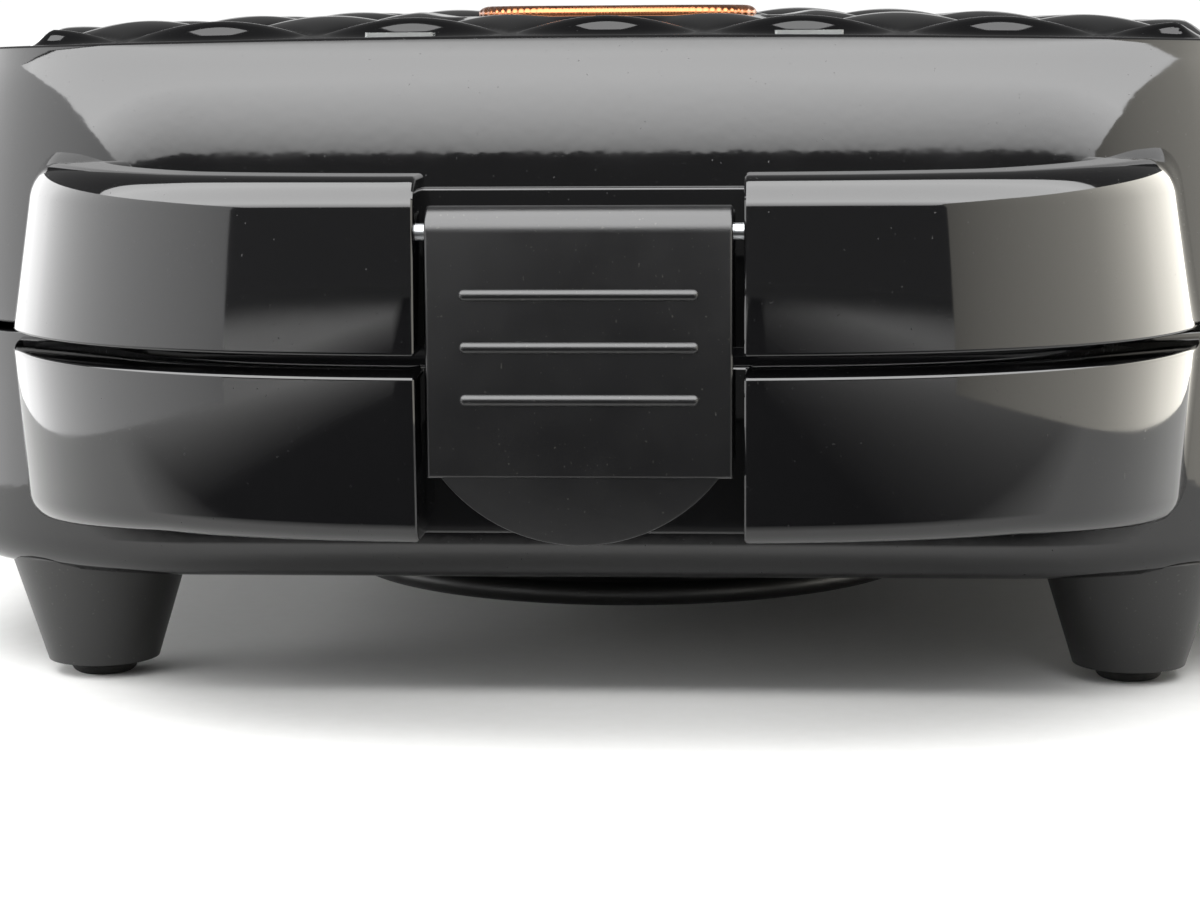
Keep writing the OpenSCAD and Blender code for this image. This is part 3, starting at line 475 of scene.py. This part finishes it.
def crowned(p):
    """Lowers what is near the lid's upper edge towards the sides."""
    foot = LEDGE_Z + 2 * MM
    share = max(0, (p.z - foot) / (LID_TOP_Z - foot))
    return Vector((p.x, p.y, p.z - LID_CROWN * (2 * p.x / BODY_W) ** 2 * share))


def moulding(name, rim_z, outer, inner, faces_up):
    """A hollow wall from its rim: one climb outside, one inside, which end on the same inner edge."""
    sides = []
    for levels in (outer, inner):
        sides.append(outline_plate(name, rim_z, faces_up))
        climb([(0, rim_z)] + levels, faces_up)
        bpy.ops.mesh.delete(type="FACE")
    piece = joined(name, sides)
    bpy.ops.object.mode_set(mode="EDIT")
    outward()
    pick(piece, "edges", lambda a, b: abs(a.z - rim_z) + abs(b.z - rim_z) < 0.01 * MM and on_rim(a) and on_rim(b))
    bpy.ops.mesh.bevel(offset=0.45 * MM, segments=3)
    return piece


def base_wall():
    """Wall, rounded foot and the flange under it that carries the floor plate."""
    turn = [(BASE_ROUND_W * (1 - math.cos(a * DEG)), BASE_ROUND_H * (1 - math.sin(a * DEG)))
            for a in range(0, 91, 9)]
    straight = spread(BASE_RIM_Z, BASE_Z + BASE_ROUND_H, 4)
    flange_z = BASE_Z + FLANGE_T
    piece = moulding("base_moulding", BASE_RIM_Z,
                     [(0, z) for z in straight[1:-1]] + [(x, BASE_Z + z) for x, z in turn]
                     + [(FLANGE_IN, BASE_Z), (FLANGE_IN, flange_z)],
                     [(WALL, BASE_RIM_Z)] + [(WALL + x, BASE_Z + WALL + z) for x, z in turn]
                     + [(WALL + BASE_ROUND_W, flange_z), (FLANGE_IN, flange_z)], False)
    for x, z, radius in ((0, BASE_Z + 15.2 * MM, 5.6 * MM), (-14 * MM, BASE_RIM_Z - 6.5 * MM, 2.1 * MM)):
        cut(piece, rod("hole", (x, BODY_BACK, z), radius, 4 * WALL, (90 * DEG, 0, 0)))
    return done(piece, "base", WALL_ABS, ["base_shell"])


def lid_wall():
    """Leaning wall, lip and inner ledge."""
    lip = LID_LEAN + LIP_W
    under = LEDGE_Z - LEDGE_T
    piece = moulding("lid_moulding", LID_RIM_Z,
                     [(lid_in(z), z) for z in spread(LID_RIM_Z, LID_TOP_Z - 1 * MM, 16)[1:]]
                     + [(LID_LEAN - 0.2 * MM, LID_TOP_Z - 0.4 * MM), (LID_LEAN + 0.2 * MM, LID_TOP_Z - 0.1 * MM),
                        (LID_LEAN + 0.7 * MM, LID_TOP_Z), (lip - 0.4 * MM, LID_TOP_Z), (lip, LID_TOP_Z - 0.3 * MM),
                        (lip, LEDGE_Z), (lip + LEDGE_W, LEDGE_Z), (lip + LEDGE_W, under)],
                     [(lid_in(z) + WALL, z) for z in spread(LID_RIM_Z, under - 3 * MM, 8)]
                     + [(lip + LEDGE_W, under)], True)
    shape(piece, crowned)
    cut(piece, rod("hole", (14 * MM, BODY_BACK, LID_RIM_Z + 6.5 * MM), 2.1 * MM, 4 * WALL, (90 * DEG, 0, 0)))
    return done(piece, "lid", WALL_ABS, ["lid_shell"])


def spread(first, last, steps):
    return [first + (last - first) * i / steps for i in range(steps + 1)]


def on_rim(p):
    """True on the outer edge of the rim, whose points are a corner's radius or a straight side away."""
    x, y = abs(p.x) - BODY_W / 2 + CORNER_R, abs(p.y - BODY_Y) - BODY_D / 2 + CORNER_R
    return abs((math.hypot(max(0, x), max(0, y)) if x > 0 and y > 0 else max(x, y)) - CORNER_R) < 0.05 * MM


# ---- the quilted top ----

PANEL_W = BODY_W - 2 * PANEL_IN
PANEL_D = BODY_D - 2 * PANEL_IN
PANEL_R = CORNER_R - PANEL_IN
BADGE_W = high("copper_badge").x - low("copper_badge").x
BADGE_D = high("copper_badge").y - low("copper_badge").y
BADGE_Y = (high("copper_badge").y + low("copper_badge").y) / 2
BADGE_Z = low("copper_badge").z


def eased(t):
    t = min(1, max(0, t))
    return t * t * (3 - 2 * t)


def cushion(x, y):
    """Height of the diamond quilting over its seams."""
    u, v = x / QUILT, (y - BODY_Y) / QUILT
    return QUILT_H * math.sqrt(abs(math.sin(math.pi * (u + v)) * math.sin(math.pi * (u - v))))


def panel_point(p):
    """A point of a square grid from -1 to 1, laid onto the domed, quilted panel with its round corners."""
    flat_x, flat_y = PANEL_W / 2 - PANEL_R, PANEL_D / 2 - PANEL_R
    x, y = abs(p.x) * PANEL_W / 2, abs(p.y) * PANEL_D / 2
    a, b = max(0, x - flat_x) / PANEL_R, max(0, y - flat_y) / PANEL_R
    x = math.copysign(min(x, flat_x) + PANEL_R * a * math.sqrt(1 - b * b / 2), p.x)
    y = BODY_Y + math.copysign(min(y, flat_y) + PANEL_R * b * math.sqrt(1 - a * a / 2), p.y)
    share = max(abs(p.x), abs(p.y))
    ramp = eased(((1 - share) * PANEL_D / 2 - QUILT_MARGIN + 3 * MM) / (5 * MM))
    crown = LID_CROWN * (2 * x / BODY_W) ** 2
    top = PANEL_EDGE_Z + PANEL_DOME * (1 - share ** 2) + ramp * cushion(x, y) - crown
    oval = math.hypot(x / (BADGE_W / 2 + BADGE_D / 7), (y - BADGE_Y) / (BADGE_D / 2 + BADGE_D / 7))
    seat = eased((1.25 - oval) / 0.25)
    return Vector((x, y, top + (BADGE_Z - 0.05 * MM - top) * seat))


def quilted_top():
    deselect()
    bpy.ops.mesh.primitive_grid_add(x_subdivisions=232, y_subdivisions=200, size=2)
    piece = begin("quilted_top")
    shape(piece, panel_point)
    pick(piece, "faces", lambda middle, normal: True)
    bpy.ops.mesh.region_to_loop()
    bpy.ops.mesh.extrude_region_move(TRANSFORM_OT_translate={"value": (0, 0, -4 * MM)})
    bpy.ops.mesh.edge_face_add()
    outward()
    for lamp in ("power_lamp", "ready_lamp"):
        gap = Vector((0.15 * MM, 0.15 * MM, 20 * MM))
        cut(piece, block("slot", low(lamp) - gap, high(lamp) + gap))
        bpy.ops.object.mode_set(mode="OBJECT")
    return done(piece, "lid", PANEL_ABS, ["lid_panel"], smooth=50)


# ---- the two bars of the handle ----

def bow(a):
    """Point of the handle's outer curve; a is 90 degrees in the middle and 0 at the right-hand arm."""
    return Vector((HANDLE_HALF_W * abs(math.cos(a)) ** (2 / HANDLE_POWER),
                   HANDLE_FRONT + HANDLE_CURVE_D * (1 - math.sin(a) ** (2 / HANDLE_POWER)), 0))


def heading(a):
    step = bow(a - 0.3 * DEG) - bow(a + 0.3 * DEG)
    return math.atan2(step.y, step.x)


def cap(name, split_z, end_z, edge_r, arm_lean, taper):
    """One moulded cap of a bar: its section is drawn beside the latch and swept along the curve to the arm."""
    first = math.acos((RECESS_W / 2 / HANDLE_HALF_W) ** (HANDLE_POWER / 2))
    start = bow(first)
    piece = plane(name, (start.x, start.y + BAR_T / 2, (split_z + end_z) / 2),
                  (abs(end_z - split_z), BAR_T), (0, 90 * DEG, 0))
    # The front corner away from the other bar is well rounded, the others a little
    for z, y, r in ((end_z, start.y, edge_r), (end_z, start.y + BAR_T, 2.5 * MM),
                    (split_z, start.y, 0.6 * MM), (split_z, start.y + BAR_T, 1.5 * MM)):
        pick(piece, "verts", lambda co: (co - Vector((start.x, y, z))).length < 0.01 * MM)
        bpy.ops.mesh.bevel(affect="VERTICES", offset=r, segments=7)
    pick(piece, "edges", lambda a, b: abs(a.z - end_z) + abs(b.z - end_z) < 0.01 * MM)
    bpy.ops.mesh.subdivide(number_cuts=7)
    pick(piece, "faces", lambda middle, normal: True)
    at, facing, stations = start, 0, {}
    remember(piece, stations, first, 0)
    for a in spread(first, 4 * DEG, 56)[1:]:
        there, turn = bow(a), heading(a)
        bpy.ops.mesh.extrude_region_move(TRANSFORM_OT_translate={"value": there - at})
        # Without a window the operator turns the other way
        bpy.ops.transform.rotate(value=facing - turn, orient_axis="Z", center_override=there)
        remember(piece, stations, a, turn)
        at, facing = there, turn
    shape(piece, lambda p: leaned(p, stations[tuple(p)], split_z, end_z, arm_lean, taper))
    return piece


def remember(piece, stations, a, turn):
    """Notes at which station of the curve the selected section stands."""
    for v in bmesh.from_edit_mesh(piece.data).verts:
        if v.select:
            stations[tuple(v.co)] = (a, turn)


def leaned(p, station, split_z, end_z, arm_lean, taper):
    """Leans a bar's front back, thins it towards the arms and widens the arms where they meet the body."""
    a, turn = station
    inward = Vector((-math.sin(turn), math.cos(turn), 0))
    share = math.cos(a) ** 2
    root = (max(0, share - ROOT_FROM) / (1 - ROOT_FROM)) ** 1.2
    depth = (p - bow(a)).dot(inward)
    away = (p.z - split_z) / (end_z - split_z)
    depth += ROOT_W * root * eased((depth - 5 * MM) / (BAR_T - 5 * MM))
    fall = 0.85 * eased((depth / (BAR_T + ROOT_W * root) - 0.35) / 0.65)
    depth += (BAR_LEAN + (arm_lean - BAR_LEAN) * share) * away * max(0, 1 - depth / BAR_T)
    grown = ROOT_H * root * (1 - fall) - taper * max(0, share - TAPER_FROM) / (1 - TAPER_FROM)
    rise = (end_z - split_z) * away + math.copysign(grown * away, end_z - split_z)
    at = bow(a) + inward * depth + Vector((-ARM_TUCK * root, 0, 0))
    return Vector((at.x, at.y, split_z + rise))


def bar(name, body, node, split_z, end_z, web_end_z, edge_r, arm_lean, taper):
    """Both caps of a bar, and the thin web between them behind the latch."""
    caps = cap(name, split_z, end_z, edge_r, arm_lean, taper)
    side_x = RECESS_W / 2
    pick(caps, "edges", lambda a, b: max(abs(a.x - side_x), abs(b.x - side_x)) < 0.01 * MM)
    bpy.ops.mesh.bevel(offset=0.6 * MM, segments=3)
    outward()
    modify(caps, "MIRROR", use_mirror_merge=False)
    back = bow(math.acos((side_x / HANDLE_HALF_W) ** (HANDLE_POWER / 2))).y + BAR_T
    web = block("web", (-side_x - 1 * MM, HANDLE_FRONT + RECESS_D, min(split_z, web_end_z)),
                (side_x + 1 * MM, back, max(split_z, web_end_z)))
    pick(web, "edges", lambda a, b: abs(a.x - b.x) > 1 * MM)
    bpy.ops.mesh.bevel(offset=0.4 * MM, segments=3)
    return done(joined(name, [caps, web]), body, CAP_ABS, [node])


# ---- latch ----

def latch():
    """Sprung plate with a rolled top, three grip ribs and a round finger tab set back under it."""
    w, face, foot = LATCH_W / 2, LATCH_FACE_Y, LATCH_LOW_Z
    roll = rod("roll", LATCH_AXIS, LATCH_BARREL_R, LATCH_W, (0, 90 * DEG, 0), 80)
    pick(roll, "edges", lambda a, b: abs(a.x - b.x) < 0.01 * MM)
    bpy.ops.mesh.bevel(offset=0.4 * MM, segments=3)
    plate = block("plate", (-w, face, foot), (w, face + LATCH_T, LATCH_AXIS.z))
    pick(plate, "edges", lambda a, b: a.y < face + 0.01 * MM and b.y < face + 0.01 * MM
         and min(a.z, b.z) < foot + 0.01 * MM)
    bpy.ops.mesh.bevel(offset=0.45 * MM, segments=4)
    parts = [roll, plate]
    for i in range(3):
        z = high("latch").z - 12 * MM - i * 7.2 * MM
        rib = rod("rib", (0, face + 0.42 * MM, z), RIB_R, RIB_W, (0, 90 * DEG, 0), 24)
        pick(rib, "edges", lambda a, b: abs(a.x - b.x) < 0.01 * MM)
        bpy.ops.mesh.bevel(offset=0.8 * MM, segments=5)
        parts.append(rib)
    tab = rod("tab", (0, face + 1.4 * MM, low("latch").z + TAB_R), TAB_R, 2.2 * MM, (90 * DEG, 0, 0), 160)
    bpy.ops.mesh.bisect(plane_co=(0, 0, foot + 0.5 * MM), plane_no=(0, 0, 1), use_fill=True, clear_outer=True)
    pick(tab, "edges", lambda a, b: abs(a.y - b.y) < 0.01 * MM and min(a.z, b.z) < foot)
    bpy.ops.mesh.bevel(offset=0.25 * MM, segments=2)
    hook = block("hook", (-10 * MM, face + 2 * MM, 46.5 * MM), (10 * MM, high("latch").y, 49.7 * MM))
    bpy.ops.mesh.bevel(offset=0.4 * MM, segments=2)
    return done(joined("latch_plate", parts + [tab, hook]), "latch", LATCH_ABS, ["latch"])


# ---- badge ----

def pulled_apart(piece, by):
    """Makes a round piece on X = 0 an oval one with straight sides: each half moves sideways."""
    for side in (-1, 1):
        pick(piece, "verts", lambda co: co.x * side > 0.01 * MM)
        bpy.ops.transform.translate(value=(side * by, 0, 0))


def badge():
    """A plain copper oval: a rounded, reeded ring around a low stepped plate of darker copper that is painted shade,
    with nothing on it.
    """
    apart = (BADGE_W - BADGE_D) / 2
    band = 4 * MM
    deselect()
    bpy.ops.mesh.primitive_torus_add(location=(0, BADGE_Y, BADGE_Z + 0.4 * MM), major_radius=(BADGE_D - band) / 2,
                                     minor_radius=band / 2, major_segments=96, minor_segments=24)
    ring = begin("badge_ring", (1, 1, 0.6))
    pulled_apart(ring, apart)
    done(ring, "lid", COPPER, ["copper_badge"])
    plate = rod("badge_plate", (0, BADGE_Y, BADGE_Z + 0.2 * MM), BADGE_D / 2 - 0.85 * band, 1 * MM, around=96)
    pulled_apart(plate, apart)
    pick(plate, "faces", lambda middle, normal: normal.z > 0.9)
    for step in range(4):
        bpy.ops.mesh.inset(thickness=1.1 * MM, depth=0)
        bpy.ops.mesh.inset(thickness=0.3 * MM, depth=0.2 * MM)
    # The darker copper here is painted shade
    return done(plate, "lid", SHADED_COPPER)


base_wall()
lid_wall()
quilted_top()
bar("lid_handle_caps", "lid", "lid_handle", BAR_SPLIT_HIGH, BAR_TOP_Z, BAR_TOP_Z - RECESS_DROP,
    4.6 * MM, 4.4 * MM, 0.8 * MM)
bar("base_handle_caps", "base", "base_handle", BAR_SPLIT_LOW, BAR_LOW_Z, BAR_LOW_Z, 3.2 * MM, 2 * MM, 3 * MM)
latch()
badge()


# ---- finishes of the parts that keep their own shape ----

CORNERS = ("front_left", "front_right", "rear_left", "rear_right")
FINISHES = (
    (LEG_ABS, ["leg_" + c for c in CORNERS] + ["cord_store"]),
    (RUBBER, ["foot_pad_" + c for c in CORNERS]),
    (INNER_ABS, ["base_floor", "latch_catch", "base_hinge", "lid_hinge", "cord_gland", "lid_frame"]),
    (NONSTICK, ["lower_plate", "upper_plate"]),
    (SHEATH, ["lower_element", "upper_element"]),
    (STEEL, ["lower_shield", "upper_shield", "lower_posts", "lower_screws", "upper_screws", "thermostat",
             "cord_store_screws", "latch_pin", "latch_spring", "hinge_pin_left", "hinge_pin_right"]),
    (ACRYLIC, ["power_lamp", "ready_lamp"]),
    (NYLON, ["terminal_block", "thermal_fuse"]),
    (SLEEVE, ["base_lead", "lid_lead"]),
    (BOARD, ["lamp_board"]),
)
for finish, names in FINISHES:
    for name in names:
        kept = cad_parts[name]
        kept.data.materials.clear()
        kept.data.materials.append(finish)


# ---- studio: pale floor, soft lights and an open-fronted tent of lit cloth that the gloss mirrors ----

def floor():
    """Matt white paper that runs on past the view on every side."""
    piece = plane("floor", (0, 0, 0), (12, 12))
    bpy.ops.object.mode_set(mode="OBJECT")
    paper, shader = blank("matt_paper", Roughness=0.9, Specular_IOR_Level=0.2)
    link(paper, mixed(paper, grain(paper, 3 * MM, detail=3.0), "#f1f1ef", "#f6f6f5"), shader.inputs["Base Color"])
    piece.data.materials.append(paper)


def soft_light(name, place, aim, width, height, power):
    """An area light that shines on everything and shows nowhere itself: the gloss mirrors the cloth instead."""
    lamp = bpy.data.lights.new(name, "AREA")
    lamp.shape = "RECTANGLE"
    lamp.size, lamp.size_y = width, height
    lamp.energy = power
    holder = bpy.data.objects.new(name, lamp)
    bpy.context.collection.objects.link(holder)
    holder.location = place
    holder.rotation_mode = "QUATERNION"
    holder.rotation_quaternion = (Vector(aim) - Vector(place)).to_track_quat("-Z", "Y")
    holder.visible_camera = holder.visible_glossy = False


def gloss_only(piece):
    """Only reflections see this piece of the studio."""
    for ray in ("camera", "diffuse", "transmission", "volume_scatter", "shadow"):
        setattr(piece, "visible_" + ray, False)


def floor_flag():
    """Dark gauze just over the paper that only reflections see: it darkens the floor's image in the gloss."""
    piece = plane("floor_flag", (0, -1.2, 0.0006), (2.4, 2.1))
    bpy.ops.object.mode_set(mode="OBJECT")
    gauze, shader = blank("dark_gauze", Roughness=1.0, Specular_IOR_Level=0.0)
    shader.inputs["Base Color"].default_value = colour("#303030")
    place = add(gauze, "ShaderNodeTexCoord")
    axes = add(gauze, "ShaderNodeSeparateXYZ", {"Vector": place.outputs["Object"]})
    ahead = between(gauze, axes.outputs["Y"], -0.148, -0.19, 0.0, 1.0)
    left = between(gauze, axes.outputs["X"], -0.3, -0.14, 0.0, 1.0)
    right = between(gauze, axes.outputs["X"], 0.4, 0.08, 0.0, 1.0)
    sides = add(gauze, "ShaderNodeMath", {0: left, 1: right}, operation="MULTIPLY")
    cover = add(gauze, "ShaderNodeMath", {0: sides.outputs[0], 1: ahead}, operation="MULTIPLY")
    link(gauze, cover.outputs[0], shader.inputs["Alpha"])
    piece.data.materials.append(gauze)
    gloss_only(piece)


def glowing(name, centre, size, turn, axis, stops, tint="#ffffff"):
    """Lit cloth that reflections see: its brightness changes along one axis, by pairs of place and strength."""
    piece = plane(name, centre, size, turn)
    bpy.ops.object.mode_set(mode="OBJECT")
    cloth = bpy.data.materials.new(name + "_cloth")
    cloth.use_nodes = True
    place = add(cloth, "ShaderNodeTexCoord")
    axes = add(cloth, "ShaderNodeSeparateXYZ", {"Vector": place.outputs["Object"]})
    # The first stretch sets the strength, and each one after it adds its own change
    total = None
    for (a, strength), (b, following) in zip(stops, stops[1:]):
        first = strength if total is None else 0.0
        step = between(cloth, axes.outputs[axis], a, b, first, first + following - strength)
        total = step if total is None else add(cloth, "ShaderNodeMath", {0: total, 1: step}).outputs[0]
    light = add(cloth, "ShaderNodeEmission", {"Strength": total}, {"Color": colour(tint)})
    link(cloth, light.outputs[0], cloth.node_tree.nodes["Material Output"].inputs["Surface"])
    piece.data.materials.append(cloth)
    gloss_only(piece)


def studio():
    for name, place, aim, width, height, power in (
            ("key_softbox", (-0.15, -0.75, 0.95), (0, -0.1, 0.07), 1.6, 1.1, 24),
            ("top_fill", (-0.1, 0.1, 1.2), (0, 0, 0), 1.8, 1.4, 7),
            ("side_fill", (-0.8, 0.05, 0.13), (0, 0, 0), 1.1, 0.24, 7)):
        soft_light(name, place, aim, width, height, power)
    # The tent's cloth over the maker and at its two sides; its front is open and dark
    glowing("tent_top", (-0.15, -1.035, 0.75), (3.4, 2.31), (0, 0, 0), "Y",
            ((-2.19, 3.6), (-1.35, 9.8), (-0.1, 8.2), (0.12, 6.0)))
    glowing("tent_back", (0, 1.7, 0.22), (4.4, 0.44), (90 * DEG, 0, 0), "X", ((-2, 0.75), (2, 0.75)))
    glowing("tent_left", (-0.3, 0.16, 0.0875), (0.175, 1.08), (0, 90 * DEG, 0), "Y",
            ((-0.38, 1.9), (-0.05, 3.6), (0.06, 4.3), (0.35, 2.4)))
    glowing("tent_right", (0.3, 0.135, 0.1025), (0.205, 1.13), (0, 90 * DEG, 0), "Y",
            ((-0.43, 1.4), (-0.12, 3.4), (0.02, 5.6)), "#fffbf0")
    floor_flag()
    world = bpy.data.worlds.new("white_room")
    bpy.context.scene.world = world
    world.use_nodes = True
    # The room is white to the camera and dim to everything else
    seen = world.node_tree.nodes["Background"]
    seen.inputs["Color"].default_value = colour("#ffffff")
    seen.inputs["Strength"].default_value = 1.05
    dim = add(world, "ShaderNodeBackground", (), {"Color": colour("#ffffff"), "Strength": 0.2})
    path = add(world, "ShaderNodeLightPath")
    room = add(world, "ShaderNodeMixShader",
               {0: path.outputs["Is Camera Ray"], 1: dim.outputs[0], 2: seen.outputs[0]})
    link(world, room.outputs[0], world.node_tree.nodes["World Output"].inputs["Surface"])


def camera():
    """Level with the closed lid's top and half a metre from the middle, a little to the right, looking down."""
    yaw, pitch, roll = 3.73 * DEG, 8.17 * DEG, -0.39 * DEG
    ahead = Vector((-math.sin(yaw) * math.cos(pitch), math.cos(yaw) * math.cos(pitch), -math.sin(pitch)))
    right = Vector((math.cos(yaw), math.sin(yaw), 0))
    up = right.cross(ahead)
    right, up = (right * math.cos(roll) + up * math.sin(roll), up * math.cos(roll) - right * math.sin(roll))
    lens = bpy.data.cameras.new("camera")
    lens.sensor_width = 36
    lens.lens = 90.15
    lens.clip_start = 0.01
    holder = bpy.data.objects.new("camera", lens)
    bpy.context.collection.objects.link(holder)
    holder.matrix_world = Matrix.Translation((29.32 * MM, -530.15 * MM, 103.25 * MM)) @ Matrix(
        (right, up, -ahead)).transposed().to_4x4()
    bpy.context.scene.camera = holder


floor()
studio()
camera()
bpy.context.scene.view_settings.view_transform = "Standard"
